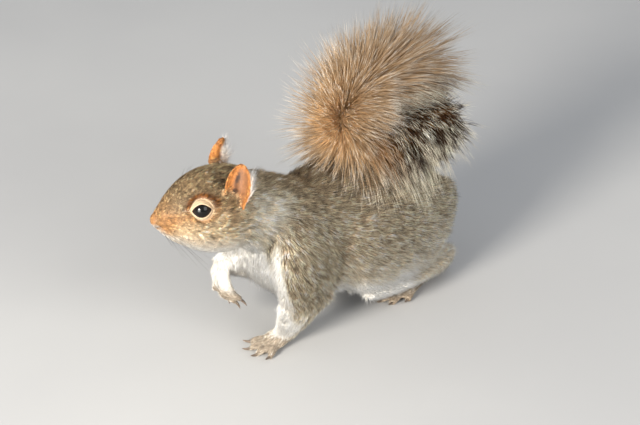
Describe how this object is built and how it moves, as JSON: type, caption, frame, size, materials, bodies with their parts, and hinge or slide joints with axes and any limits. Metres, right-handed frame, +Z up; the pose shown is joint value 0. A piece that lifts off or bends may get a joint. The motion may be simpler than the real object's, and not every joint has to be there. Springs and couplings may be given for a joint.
{
  "type": "grey squirrel figure",
  "caption": "Life-size still model of a grey squirrel standing with one forefoot raised and its bushy tail folded over its back.",
  "frame": {"origin": "on the floor, under the middle of the bounding box", "axes": "+Z up; the animal faces -Y, with its left side at +X"},
  "size_m": [0.0896, 0.2232, 0.1688],
  "materials": {
    "coat_grey": "grizzled grey-brown fur, cream-tipped over dark",
    "coat_face": "short yellowish grey-brown fur, tan on muzzle and cheeks, cream round the eye",
    "coat_white": "short white to cream fur",
    "coat_tail": "long loose fur, orange-brown at the root, then black, with white tips",
    "ear_skin": "thin skin under very short orange fur",
    "nose_skin": "bare fine-grained skin",
    "claw_horn": "dark smooth horn",
    "eye_gloss": "wet gloss, very dark brown"
  },
  "bodies": {
    "root": {"chest": "coat_grey", "ear_left": "ear_skin", "ear_right": "ear_skin", "eye_left": "eye_gloss", "eye_right": "eye_gloss", "forearm_left": "coat_grey", "forearm_right": "coat_white", "forefoot_left_claw_1": "claw_horn", "forefoot_left_claw_2": "claw_horn", "forefoot_left_claw_3": "claw_horn", "forefoot_left_claw_4": "claw_horn", "forefoot_right_claw_1": "claw_horn", "forefoot_right_claw_2": "claw_horn", "forefoot_right_claw_3": "claw_horn", "forefoot_right_claw_4": "claw_horn", "forepaw_left": "coat_white", "forepaw_right": "coat_white", "head": "coat_face", "hindfoot_left_claw_1": "claw_horn", "hindfoot_left_claw_2": "claw_horn", "hindfoot_left_claw_3": "claw_horn", "hindfoot_left_claw_4": "claw_horn", "hindfoot_left_claw_5": "claw_horn", "hindfoot_right_claw_1": "claw_horn", "hindfoot_right_claw_2": "claw_horn", "hindfoot_right_claw_3": "claw_horn", "hindfoot_right_claw_4": "claw_horn", "hindfoot_right_claw_5": "claw_horn", "hindpaw_left": "coat_white", "hindpaw_right": "coat_white", "loin": "coat_grey", "neck": "coat_grey", "nose": "nose_skin", "rump": "coat_grey", "shank_left": "coat_grey", "shank_right": "coat_grey", "tail_1": "coat_tail", "tail_2": "coat_tail", "tail_3": "coat_tail", "tail_4": "coat_tail", "tail_5": "coat_tail", "tail_6": "coat_tail", "tail_7": "coat_tail", "thigh_left": "coat_grey", "thigh_right": "coat_grey", "upper_arm_left": "coat_grey", "upper_arm_right": "coat_grey"}
  },
  "joints": []
}
